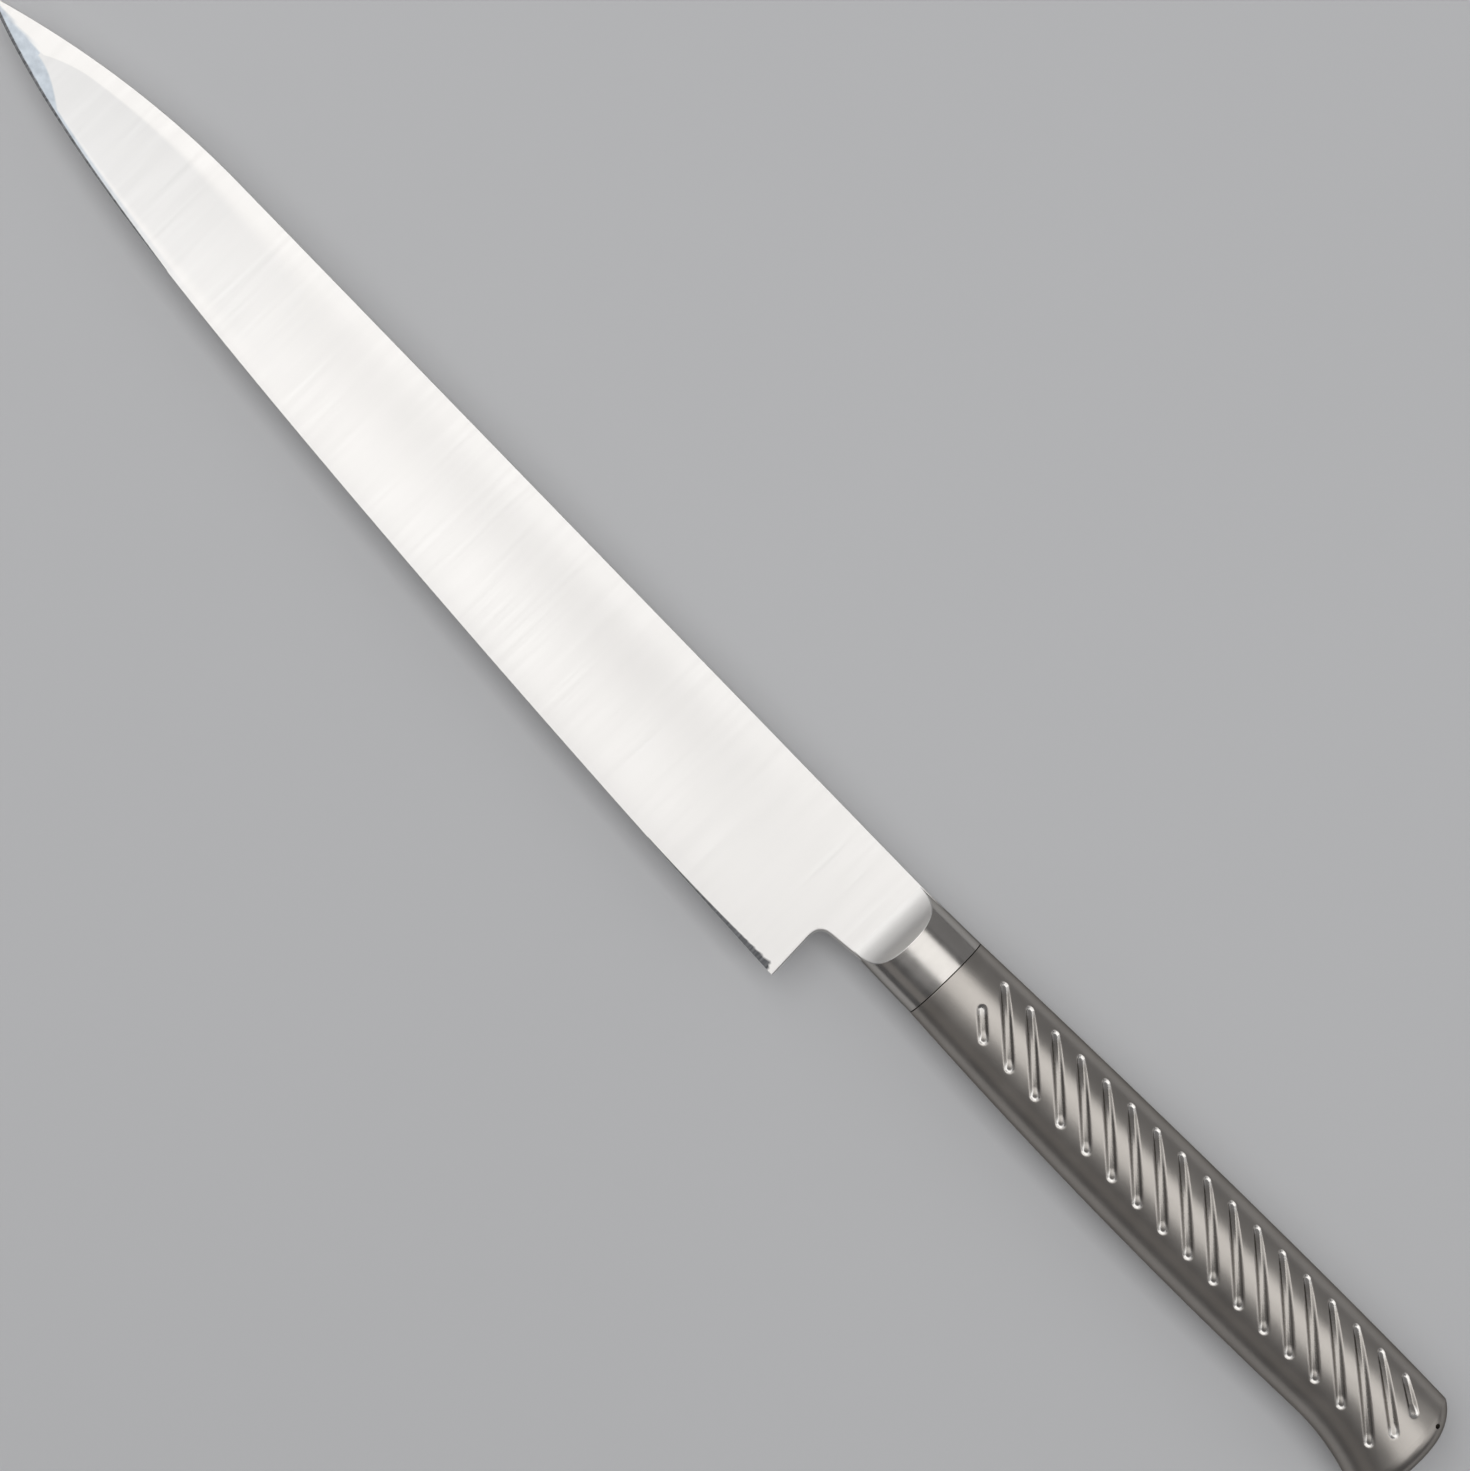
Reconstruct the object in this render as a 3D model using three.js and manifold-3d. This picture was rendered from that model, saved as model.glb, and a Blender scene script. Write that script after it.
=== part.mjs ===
// A yanagiba: a long single-bevel slicing knife with a hollow welded steel handle.
// Millimetres. +X runs to the tip, +Y to the cutting edge, +Z out of the blade's hollow back.
// The knife lies on its front side. While it is built, x = 0 is the joint between the bolster
// and the handle, y = 0 is the straight spine of the blade and z = 0 is the handle's mid-plane.
import * as THREE from 'three';
import { LoftGeometry } from 'three/addons/geometries/LoftGeometry.js';
import { mergeVertices } from 'three/addons/utils/BufferGeometryUtils.js';
import Module from 'manifold-3d';

// Blade
const EDGE_LENGTH = 238.7;
const HEEL_HEIGHT = 32.5;
const HEEL_THICKNESS = 3.4;
const TIP_THICKNESS = 1.6;
const EDGE_THICKNESS = 0.15;
const TIP_DROP = 9.2;
const TIP_FLAT = 0.4;
const SPINE_CURVE_LENGTH = 58.8;
const BEVEL_WIDTH = 13.5;
const EDGE_STRAIGHT_SHARE = 0.343;
const EDGE_BOW_SHARE = 0.343;
const EDGE_TIP_POWER = 9;
const TIP_BEVEL_SHARE = 0.85;
const TIP_BEVEL_BLEND = 6;
const TIP_GRIND_SLOPE = 0.3;

// Hollow ground into the back of the blade
const HOLLOW_RADIUS = 260;
const HOLLOW_SPINE_RIM = 3.2;
const HOLLOW_EDGE_RIM = 1;
const HOLLOW_TIP_MARGIN = 14.6;
const HOLLOW_TIP_ARCH = 10;
const HOLLOW_HEEL_ARCH = 14;

// Neck and stub tang
const HEEL_SETBACK = 23.95;
const NECK_HEIGHT = 19.4;
const NECK_TAPER = 0.11;
const CHOIL_RADIUS = 3;
const NECK_SOCKET = 4.4;
const TANG_HEIGHT = 9;
const TANG_THICKNESS = 2.8;
const TANG_STICKOUT = 3;

// Bolster
const BOLSTER_LENGTH = 14.25;
const BOLSTER_BELLY_DROP = 0.15;
const BOLSTER_FRONT_THICKNESS = 12.4;
const SCOOP_RADIUS = 10;
const SCOOP_FOOT = 18.4;
const SPIGOT_LENGTH = 8;

// Handle outline, measured back from the joint
const HANDLE_LENGTH = 129.75;
const JOINT_SPINE_Y = -0.45;
const JOINT_BELLY_Y = 18.5;
const JOINT_THICKNESS = 13.5;
const GRIP_THICKNESS = 17.3;
const GRIP_THICKEST_AT = 78;
const SPINE_HUMP = 3.3;
const SPINE_HUMP_SETBACK = 13.6;
const SPINE_HUMP_POWER = 1.6;
const BELLY_SWELL = 1.2;
const BELLY_SWELL_AT = 53;
const HOOK_DROP = 6.4;
const HOOK_LENGTH = 23.6;
const SECTION_POWER = 2.25;
const BUTT_DOME = 5;

// Handle sheet, welds and butt cap
const SHELL_WALL = 1.2;
const SEAM_WELD_WIDTH = 0.8;
const TANG_WELD_WIDTH = 2;
const TANG_WELD_LENGTH = 2;
const CAP_RIM_LENGTH = 4;
const CAP_RIM_WALL = 1;
const VENT_RADIUS = 0.5;
const VENT_SETBACK = 2.6;
const VENT_Y = 0.4;

// Pressed grip grooves
const GROOVE_PITCH = 6.7;
const GROOVE_ANGLE = THREE.MathUtils.degToRad(41.5);
const GROOVE_WIDTH = 1.8;
const GROOVE_DEPTH = 0.6;
const GROOVE_SPINE_MARGIN = 2.85;
const GROOVE_BELLY_MARGIN = 7;
const GROOVE_FRONT_MARGIN = 9.7;
const GROOVE_BUTT_MARGIN = 7.9;
const GROOVE_SHORTEST = 3;

// Space left between pieces that are fitted into one another
const CLEARANCE = 0.3;

// Fineness of the facets
const HANDLE_STATIONS = 12;
const DOME_STATIONS = 6;
const ARC_POINTS = 13;
const HOLLOW_POINTS = 7;
const GROOVE_STATIONS = 5;
const GROOVE_SIDES = 8;
const ROUND_SIDES = 12;
const OVERCUT = 5;

const TIP_X = HEEL_SETBACK + EDGE_LENGTH;
const BACK_Z = HEEL_THICKNESS / 2;
const NECK_END_X = BOLSTER_LENGTH - NECK_SOCKET;
const SHELL_END = HANDLE_LENGTH - BUTT_DOME;
const CAP_START = SHELL_END + SEAM_WELD_WIDTH;

const wasm = await Module();
wasm.setup();

function solidOf(geometry) {
  const bare = geometry.index ? geometry.toNonIndexed() : geometry.clone();
  bare.deleteAttribute('normal');
  bare.deleteAttribute('uv');
  const merged = mergeVertices(bare);
  const vertProperties = new Float32Array(merged.attributes.position.array);
  const triVerts = new Uint32Array(merged.index.array);
  return new wasm.Manifold(new wasm.Mesh({ numProp: 3, vertProperties, triVerts }));
}

function geometryOf(solid) {
  const mesh = solid.getMesh();
  const geometry = new THREE.BufferGeometry();
  geometry.setAttribute('position', new THREE.BufferAttribute(mesh.vertProperties, 3));
  geometry.setIndex(new THREE.BufferAttribute(mesh.triVerts, 1));
  geometry.computeVertexNormals();
  return geometry;
}

function steps(from, to, count) {
  return Array.from({ length: count + 1 }, (_, i) => from + ((to - from) * i) / count);
}

// Joins rings of [y, z] points, listed counterclockwise as seen from the tip, at rising x.
function loftAlongX(stations, ringAt) {
  const rings = stations.map((x) => ringAt(x).map(([y, z]) => new THREE.Vector3(x, y, z)));
  return new LoftGeometry(rings, { capStart: true, capEnd: true });
}

function boxBetween(low, high) {
  const size = new THREE.Vector3().subVectors(high, low);
  const middle = new THREE.Vector3().addVectors(low, high).multiplyScalar(0.5);
  return new THREE.BoxGeometry(size.x, size.y, size.z).translate(middle.x, middle.y, middle.z);
}

// Quarter-ellipse run from 0 at an end to 1 at the given distance from it.
function archShare(distance, arch) {
  const left = 1 - THREE.MathUtils.clamp(distance / arch, 0, 1);
  return Math.sqrt(1 - left * left);
}

// Blade

function spineY(x) {
  const along = Math.max(0, x - (TIP_X - SPINE_CURVE_LENGTH)) / SPINE_CURVE_LENGTH;
  return (TIP_DROP - TIP_FLAT / 2) * along * along;
}

function edgeY(x) {
  const along = Math.max(0, x - HEEL_SETBACK) / EDGE_LENGTH;
  const tipShare = 1 - EDGE_STRAIGHT_SHARE - EDGE_BOW_SHARE;
  const lift = EDGE_STRAIGHT_SHARE * along
    + EDGE_BOW_SHARE * along ** 2
    + tipShare * along ** EDGE_TIP_POWER;
  return HEEL_HEIGHT - (HEEL_HEIGHT - TIP_DROP - TIP_FLAT / 2) * lift;
}

// The bevel keeps its width until the narrowing tip leaves no room for it.
function bevelWidth(x) {
  const room = TIP_BEVEL_SHARE * (edgeY(x) - spineY(x));
  return (BEVEL_WIDTH ** -TIP_BEVEL_BLEND + room ** -TIP_BEVEL_BLEND) ** (-1 / TIP_BEVEL_BLEND);
}

function bladeThickness(x) {
  const taper = (HEEL_THICKNESS - TIP_THICKNESS) / EDGE_LENGTH;
  const flat = HEEL_THICKNESS - taper * (x - HEEL_SETBACK);
  return Math.min(flat, EDGE_THICKNESS + TIP_GRIND_SLOPE * bevelWidth(x));
}

function bladeRing(x) {
  const spine = spineY(x);
  const edge = edgeY(x);
  const front = BACK_Z - bladeThickness(x);
  const fromTip = TIP_X - HOLLOW_TIP_MARGIN - x;
  const share = archShare(fromTip, HOLLOW_TIP_ARCH) * archShare(x - HEEL_SETBACK, HOLLOW_HEEL_ARCH);
  const rims = HOLLOW_SPINE_RIM + HOLLOW_EDGE_RIM;
  const span = edge - spine;
  const spineRim = (span * HOLLOW_SPINE_RIM) / Math.max(rims, span);
  const edgeRim = (span * HOLLOW_EDGE_RIM) / Math.max(rims, span);
  const middle = (spine + spineRim + edge - edgeRim) / 2;
  const room = (edge - edgeRim - spine - spineRim) / 2;
  const half = Math.max(room * share, span / 10);
  const deepest = share > 0 ? half ** 2 / (2 * HOLLOW_RADIUS) : 0;
  const hollow = steps(1, -1, HOLLOW_POINTS + 1).map((at) => [
    middle + half * at,
    BACK_Z - deepest * (1 - at * at),
  ]);
  return [
    [spine, front],
    [edge - bevelWidth(x), front],
    [edge, BACK_Z - EDGE_THICKNESS],
    [edge, BACK_Z],
    ...hollow,
    [spine, BACK_Z],
  ];
}

// Takes away what lies behind the heel and below the neck, with a round choil between them.
function choilCutter() {
  const neckAt = (x) => NECK_HEIGHT - NECK_TAPER * (HEEL_SETBACK - x);
  const back = NECK_END_X - OVERCUT;
  const low = HEEL_HEIGHT + OVERCUT;
  const outline = new THREE.Shape();
  outline.moveTo(back, low);
  outline.lineTo(back, neckAt(back));
  outline.lineTo(HEEL_SETBACK - CHOIL_RADIUS, neckAt(HEEL_SETBACK - CHOIL_RADIUS));
  outline.quadraticCurveTo(HEEL_SETBACK, NECK_HEIGHT, HEEL_SETBACK, NECK_HEIGHT + CHOIL_RADIUS);
  outline.lineTo(HEEL_SETBACK, low);
  const depth = HEEL_THICKNESS + 2 * OVERCUT;
  const cutter = new THREE.ExtrudeGeometry(outline, { depth, bevelEnabled: false, curveSegments: 6 });
  return cutter.translate(0, 0, -depth / 2);
}

const tangMiddleY = (JOINT_SPINE_Y + JOINT_BELLY_Y) / 2;
const tangEndX = -SPIGOT_LENGTH - CLEARANCE - TANG_WELD_LENGTH - TANG_STICKOUT;

function tangBox(fromX, toX, spare) {
  const halfHeight = TANG_HEIGHT / 2 + spare;
  const halfThickness = TANG_THICKNESS / 2 + spare;
  return boxBetween(
    new THREE.Vector3(fromX, tangMiddleY - halfHeight, -halfThickness),
    new THREE.Vector3(toX, tangMiddleY + halfHeight, halfThickness),
  );
}

function bladeGeometry() {
  const curveStart = TIP_X - SPINE_CURVE_LENGTH;
  const stations = [
    NECK_END_X,
    ...steps(HEEL_SETBACK, HEEL_SETBACK + HOLLOW_HEEL_ARCH, 5),
    ...steps(HEEL_SETBACK + HOLLOW_HEEL_ARCH, curveStart, 14).slice(1),
    ...steps(curveStart, TIP_X - HOLLOW_TIP_MARGIN - HOLLOW_TIP_ARCH, 8).slice(1),
    ...steps(TIP_X - HOLLOW_TIP_MARGIN - HOLLOW_TIP_ARCH, TIP_X - HOLLOW_TIP_MARGIN, 8).slice(1),
    ...steps(TIP_X - HOLLOW_TIP_MARGIN, TIP_X, 6).slice(1),
  ];
  const blank = solidOf(loftAlongX(stations, bladeRing));
  const tang = solidOf(tangBox(tangEndX, NECK_END_X + NECK_SOCKET, 0));
  return geometryOf(blank.subtract(solidOf(choilCutter())).add(tang));
}

// Handle section: an oval between the spine line and the belly line at a distance behind the joint.

function handleSpineY(back) {
  const left = Math.abs(1 - back / (HANDLE_LENGTH - SPINE_HUMP_SETBACK));
  return JOINT_SPINE_Y - SPINE_HUMP * (1 - left ** SPINE_HUMP_POWER);
}

function handleBellyY(back) {
  const swell = BELLY_SWELL * (1 - (back / BELLY_SWELL_AT - 1) ** 2);
  const hook = Math.max(0, back - (HANDLE_LENGTH - HOOK_LENGTH)) / HOOK_LENGTH;
  return JOINT_BELLY_Y + swell + HOOK_DROP * hook * hook;
}

function handleHalfThickness(back) {
  const growth = (GRIP_THICKNESS - JOINT_THICKNESS) / 2;
  return JOINT_THICKNESS / 2 + growth * (1 - (back / GRIP_THICKEST_AT - 1) ** 2);
}

function handleOval(back) {
  const spine = handleSpineY(back);
  const belly = handleBellyY(back);
  return {
    middle: (spine + belly) / 2,
    halfHeight: (belly - spine) / 2,
    halfThickness: handleHalfThickness(back),
  };
}

function bolsterOval(x) {
  const along = x / BOLSTER_LENGTH;
  const spine = JOINT_SPINE_Y * (1 - along);
  const belly = JOINT_BELLY_Y - BOLSTER_BELLY_DROP * along ** 3;
  return {
    middle: (spine + belly) / 2,
    halfHeight: (belly - spine) / 2,
    halfThickness: THREE.MathUtils.lerp(JOINT_THICKNESS, BOLSTER_FRONT_THICKNESS, along) / 2,
  };
}

// A point of the oval, drawn in by a wall thickness and shrunk towards its middle.
function ovalPoint(oval, angle, inset, scale) {
  const bend = (value) => Math.sign(value) * Math.abs(value) ** (2 / SECTION_POWER);
  return [
    oval.middle + (oval.halfHeight - inset) * scale * bend(Math.cos(angle)),
    (oval.halfThickness - inset) * scale * bend(Math.sin(angle)),
  ];
}

function ovalRing(oval, inset, scale = 1) {
  const angles = steps(0, 2 * Math.PI, 2 * ARC_POINTS).slice(0, -1);
  return angles.map((angle) => ovalPoint(oval, angle, inset, scale));
}

// Bolster

// Hollows one cheek from the barrel towards the foot of the scoop, where it would run out on the blade's face.
function scoopCutter(faceZ, side) {
  const axisZ = Math.abs(faceZ) + SCOOP_RADIUS;
  const outline = new THREE.Shape();
  outline.moveTo(SCOOP_FOOT, axisZ + OVERCUT);
  outline.lineTo(SCOOP_FOOT - SCOOP_RADIUS, axisZ + OVERCUT);
  outline.lineTo(SCOOP_FOOT - SCOOP_RADIUS, axisZ);
  outline.absarc(SCOOP_FOOT, axisZ, SCOOP_RADIUS, Math.PI, 1.5 * Math.PI, false);
  const depth = JOINT_BELLY_Y - JOINT_SPINE_Y + 2 * OVERCUT;
  const cutter = new THREE.ExtrudeGeometry(outline, { depth, bevelEnabled: false, curveSegments: ROUND_SIDES });
  cutter.rotateX(Math.PI / 2);
  cutter.translate(0, JOINT_BELLY_Y + OVERCUT, 0);
  return side > 0 ? cutter : cutter.rotateX(Math.PI).translate(0, 2 * tangMiddleY, 0);
}

function bolsterGeometry() {
  const frontZ = BACK_Z - bladeThickness(NECK_END_X);
  const barrel = loftAlongX(steps(0, BOLSTER_LENGTH, 10), (x) => ovalRing(bolsterOval(x), 0));
  const joint = handleOval(0);
  const spigotInset = SHELL_WALL + CLEARANCE;
  const spigot = loftAlongX([-SPIGOT_LENGTH, CLEARANCE], () => ovalRing(joint, spigotInset));
  const slot = boxBetween(
    new THREE.Vector3(NECK_END_X - CLEARANCE, JOINT_SPINE_Y - OVERCUT, frontZ - CLEARANCE),
    new THREE.Vector3(BOLSTER_LENGTH + OVERCUT, JOINT_BELLY_Y + OVERCUT, BACK_Z + CLEARANCE),
  );
  const hole = tangBox(-SPIGOT_LENGTH - OVERCUT, NECK_END_X, CLEARANCE);
  return geometryOf(
    solidOf(barrel)
      .add(solidOf(spigot))
      .subtract(solidOf(scoopCutter(BACK_Z, 1)))
      .subtract(solidOf(scoopCutter(frontZ, -1)))
      .subtract(solidOf(slot))
      .subtract(solidOf(hole)),
  );
}

// A bead round the tang, behind the bolster's spigot.
function tangWeldGeometry() {
  const frontX = -SPIGOT_LENGTH - CLEARANCE;
  const bead = tangBox(frontX - TANG_WELD_LENGTH, frontX, CLEARANCE + TANG_WELD_WIDTH);
  const hole = tangBox(frontX - TANG_WELD_LENGTH - OVERCUT, frontX + OVERCUT, CLEARANCE);
  return geometryOf(solidOf(bead).subtract(solidOf(hole)));
}

// Handle shells

// One half of the tube section, from the belly seam over the flank to the spine seam and back inside.
function shellRing(oval, side) {
  const seamZ = SEAM_WELD_WIDTH / 2;
  const arc = (inset) => {
    const start = Math.asin((seamZ / (oval.halfThickness - inset)) ** (SECTION_POWER / 2));
    return steps(start, Math.PI - start, ARC_POINTS).map((angle) => ovalPoint(oval, angle, inset, 1));
  };
  const ring = [...arc(0), ...arc(SHELL_WALL).reverse()];
  if (side > 0) return ring;
  return ring.map(([y, z]) => [y, -z]).reverse();
}

function flankPoint(back, y, side) {
  const oval = handleOval(back);
  const across = Math.min(1, Math.abs((y - oval.middle) / oval.halfHeight));
  const z = oval.halfThickness * (1 - across ** SECTION_POWER) ** (1 / SECTION_POWER);
  return new THREE.Vector3(-back, y, side * z);
}

function flankNormal(back, y, side) {
  const reach = 0.1;
  const along = flankPoint(back - reach, y, side).sub(flankPoint(back + reach, y, side));
  const across = flankPoint(back, y + reach, side).sub(flankPoint(back, y - reach, side));
  return along.cross(across).multiplyScalar(side).normalize();
}

// The straight run of each groove's floor, clipped to the grip field: [back, y] at its two ends.
function grooveRuns() {
  const runs = [];
  const backStep = Math.cos(GROOVE_ANGLE);
  const yStep = Math.sin(GROOVE_ANGLE);
  const rear = HANDLE_LENGTH - GROOVE_BUTT_MARGIN;
  for (let first = GROOVE_FRONT_MARGIN - GROOVE_PITCH; first < rear; first += GROOVE_PITCH) {
    const firstY = handleSpineY(first) + GROOVE_SPINE_MARGIN;
    const start = Math.max(0, (GROOVE_FRONT_MARGIN - first) / backStep);
    const longest = (rear - first) / backStep;
    const bellyRoom = (run) => handleBellyY(first + run * backStep) - GROOVE_BELLY_MARGIN - firstY;
    let end = longest;
    for (let pass = 0; pass < 8; pass += 1) end = Math.min(longest, bellyRoom(end) / yStep);
    if (end - start < GROOVE_SHORTEST) continue;
    runs.push([start, end].map((run) => [first + run * backStep, firstY + run * yStep]));
  }
  return runs;
}

// A round-ended rod laid along the flank, sunk to the groove's depth.
function grooveCutter([[startBack, startY], [endBack, endY]], side) {
  const halfWidth = GROOVE_WIDTH / 2;
  const radius = (halfWidth ** 2 + GROOVE_DEPTH ** 2) / (2 * GROOVE_DEPTH);
  const lift = radius - GROOVE_DEPTH;
  const centreAt = (share) => {
    const back = THREE.MathUtils.lerp(startBack, endBack, share);
    const y = THREE.MathUtils.lerp(startY, endY, share);
    const normal = flankNormal(back, y, side);
    return { centre: flankPoint(back, y, side).addScaledVector(normal, lift), normal };
  };
  const start = centreAt(0);
  const end = centreAt(1);
  const heading = new THREE.Vector3().subVectors(end.centre, start.centre).normalize();
  const ring = ({ centre, normal }, angleFromPole, pull) => {
    const across = new THREE.Vector3().crossVectors(heading, normal).normalize();
    const up = new THREE.Vector3().crossVectors(across, heading);
    const middle = centre.clone().addScaledVector(heading, pull * radius * Math.cos(angleFromPole));
    const ringRadius = radius * Math.sin(angleFromPole);
    return steps(0, 2 * Math.PI, GROOVE_SIDES).slice(0, -1).map((angle) => middle.clone()
      .addScaledVector(up, ringRadius * Math.cos(angle))
      .addScaledVector(across, ringRadius * Math.sin(angle)));
  };
  const poleAngles = [Math.PI / 12, Math.PI / 4];
  const rings = [
    ...poleAngles.map((angle) => ring(start, angle, -1)),
    ...steps(0, 1, GROOVE_STATIONS).map((share) => ring(centreAt(share), Math.PI / 2, 1)),
    ...poleAngles.map((angle) => ring(end, angle, 1)).reverse(),
  ];
  return new LoftGeometry(rings, { capStart: true, capEnd: true });
}

function shellGeometry(side) {
  const stations = steps(-SHELL_END, -CLEARANCE, HANDLE_STATIONS);
  let shell = solidOf(loftAlongX(stations, (x) => shellRing(handleOval(-x), side)));
  for (const run of grooveRuns()) shell = shell.subtract(solidOf(grooveCutter(run, side)));
  return geometryOf(shell);
}

// Seam welds

// A strip that fills the seam between the two shells along one line of the handle.
function seamWeldGeometry(lineY, inward) {
  const stations = steps(-SHELL_END, -CLEARANCE, HANDLE_STATIONS);
  const outer = stations.map((x) => new THREE.Vector2(x, lineY(-x)));
  const inner = stations.map((x) => new THREE.Vector2(x, lineY(-x) + inward * SHELL_WALL));
  const outline = new THREE.Shape([...outer, ...inner.reverse()]);
  const bead = new THREE.ExtrudeGeometry(outline, { depth: SEAM_WELD_WIDTH, bevelEnabled: false });
  return bead.translate(0, 0, -SEAM_WELD_WIDTH / 2);
}

// A ring that fills the seam between the shells and the butt cap.
function buttWeldGeometry() {
  const span = [-CAP_START, -SHELL_END];
  const bead = loftAlongX(span, (x) => ovalRing(handleOval(-x), 0));
  const bore = loftAlongX([span[0] - OVERCUT, span[1] + OVERCUT], () => ovalRing(handleOval(SHELL_END), SHELL_WALL));
  return geometryOf(solidOf(bead).subtract(solidOf(bore)));
}

// Butt cap

// A dome that closes the handle, with its base at the cap's seam.
function domeGeometry(inset) {
  const oval = handleOval(CAP_START);
  const depth = HANDLE_LENGTH - CAP_START - inset;
  const lastAngle = Math.PI / 2 - Math.PI / 24;
  const rings = steps(lastAngle, 0, DOME_STATIONS).map((angle) => {
    const x = -(CAP_START + depth * Math.sin(angle));
    return ovalRing(oval, inset, Math.cos(angle)).map(([y, z]) => new THREE.Vector3(x, y, z));
  });
  return new LoftGeometry(rings, { capStart: true, capEnd: true });
}

function buttCapGeometry() {
  const rimInset = SHELL_WALL + CLEARANCE;
  const hollowInset = rimInset + CAP_RIM_WALL;
  const rimEnd = -SHELL_END + CAP_RIM_LENGTH;
  const boreAt = (x) => handleOval(Math.min(-x, SHELL_END));
  const rimStations = [-CAP_START - CAP_RIM_WALL, ...steps(-SHELL_END, rimEnd, 3)];
  const rim = loftAlongX(rimStations, (x) => ovalRing(boreAt(x), rimInset));
  const boreStations = [-CAP_START, ...steps(-SHELL_END, rimEnd + OVERCUT, 4)];
  const bore = loftAlongX(boreStations, (x) => ovalRing(boreAt(x), hollowInset));
  const vent = new THREE.CylinderGeometry(VENT_RADIUS, VENT_RADIUS, GRIP_THICKNESS, ROUND_SIDES);
  vent.rotateX(Math.PI / 2);
  vent.translate(-HANDLE_LENGTH + VENT_SETBACK, VENT_Y, GRIP_THICKNESS / 2);
  return geometryOf(
    solidOf(domeGeometry(0))
      .add(solidOf(rim))
      .subtract(solidOf(domeGeometry(hollowInset)))
      .subtract(solidOf(bore))
      .subtract(solidOf(vent)),
  );
}

// Materials

function steel(color, roughness) {
  return new THREE.MeshStandardMaterial({ color, roughness, metalness: 1 });
}

const satinBlade = steel(0xe4e2df, 0.28);
const polished = steel(0xd6d2cd, 0.15);
const blasted = steel(0xa8a29b, 0.5);
const weld = steel(0x9c9791, 0.5);

const knife = new THREE.Group();

function addPiece(name, geometry, material) {
  const piece = new THREE.Mesh(geometry, material);
  piece.name = name;
  knife.add(piece);
}

addPiece('blade', bladeGeometry(), satinBlade);
addPiece('bolster', bolsterGeometry(), polished);
addPiece('tang_weld', tangWeldGeometry(), weld);
addPiece('handle_shell_back', shellGeometry(1), blasted);
addPiece('handle_shell_front', shellGeometry(-1), blasted);
addPiece('spine_seam_weld', seamWeldGeometry(handleSpineY, 1), weld);
addPiece('belly_seam_weld', seamWeldGeometry(handleBellyY, -1), weld);
addPiece('butt_seam_weld', buttWeldGeometry(), weld);
addPiece('butt_cap', buttCapGeometry(), blasted);

// The origin goes to the middle of the footprint, on the surface that the knife lies on.
const bounds = new THREE.Box3().setFromObject(knife);
const middle = bounds.getCenter(new THREE.Vector3());
knife.position.set(-middle.x, -middle.y, -bounds.min.z);

export default knife;
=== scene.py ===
import math

import bpy
from mathutils import Matrix, Vector


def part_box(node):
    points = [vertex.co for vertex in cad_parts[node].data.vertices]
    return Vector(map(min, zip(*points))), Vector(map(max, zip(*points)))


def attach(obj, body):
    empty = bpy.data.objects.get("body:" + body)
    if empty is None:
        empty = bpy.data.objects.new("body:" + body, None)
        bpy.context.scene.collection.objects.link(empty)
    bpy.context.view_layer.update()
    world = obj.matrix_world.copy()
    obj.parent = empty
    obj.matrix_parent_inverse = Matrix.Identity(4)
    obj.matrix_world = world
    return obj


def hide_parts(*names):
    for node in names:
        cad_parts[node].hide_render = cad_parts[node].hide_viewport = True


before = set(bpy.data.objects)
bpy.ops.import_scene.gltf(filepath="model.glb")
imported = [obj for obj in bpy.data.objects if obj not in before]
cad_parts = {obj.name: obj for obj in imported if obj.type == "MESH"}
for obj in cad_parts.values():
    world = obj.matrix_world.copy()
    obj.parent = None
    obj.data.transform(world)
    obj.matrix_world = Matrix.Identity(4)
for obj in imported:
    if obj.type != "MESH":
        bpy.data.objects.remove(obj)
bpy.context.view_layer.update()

# A yanagiba: a long single-bevel slicing knife with a hollow-ground back and a hollow steel handle.
# Shapes are worked out in millimetres: x to the tip from the joint between bolster and handle, y to the
# cutting edge from the straight spine of the blade, z out of the hollow back from the handle's mid-plane.

MM = 0.001

# Blade
EDGE_LENGTH = 238.7
HEEL_HEIGHT = 32.5
HEEL_THICKNESS = 3.4
TIP_THICKNESS = 1.6
EDGE_THICKNESS = 0.06
TIP_DROP = 9.2
TIP_FLAT = 0.3
SPINE_CURVE_LENGTH = 58.8
SPINE_ROUND = 0.12
SPINE_ROUND_HEIGHT_SHARE = 1 / 6
SPINE_ROUND_THICKNESS_SHARE = 1 / 4
BEVEL_WIDTH = 13.5
EDGE_STRAIGHT_SHARE = 0.343
EDGE_BOW_SHARE = 0.343
EDGE_TIP_POWER = 9
TIP_BEVEL_SHARE = 0.85
TIP_BEVEL_BLEND = 6
TIP_GRIND_SLOPE = 0.3

# Painted shade: a dark line along the keen edge near the tip, and a dark rim at the heel
EDGE_LINE_WIDTH = 0.65
EDGE_LINE_SOFTNESS = 0.12
EDGE_LINE_LENGTH = 62
EDGE_LINE_POWER = 0.5
HEEL_SHADE_WIDTH = 1.45
HEEL_SHADE_LENGTH = 46
HEEL_SHADE_POWER = 2.2
HEEL_SHADE_SETBACK = 1
HEEL_SHADE_FADE = 0.5

# Hollow ground into the back of the blade
HOLLOW_RADIUS = 260
HOLLOW_SPINE_RIM = 3.2
HOLLOW_EDGE_RIM = 1
HOLLOW_LEAST_SHARE = 0.1
HOLLOW_TIP_MARGIN = 14.6
HOLLOW_TIP_ARCH = 10
HOLLOW_HEEL_ARCH = 14
HOLLOW_CRISP_LENGTH = 40
HOLLOW_CRISP_BORDER = 0.25
HOLLOW_SOFT_BORDER = 5
HOLLOW_FADE_LENGTH = 90
HOLLOW_HEEL_FADE = 70
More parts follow.
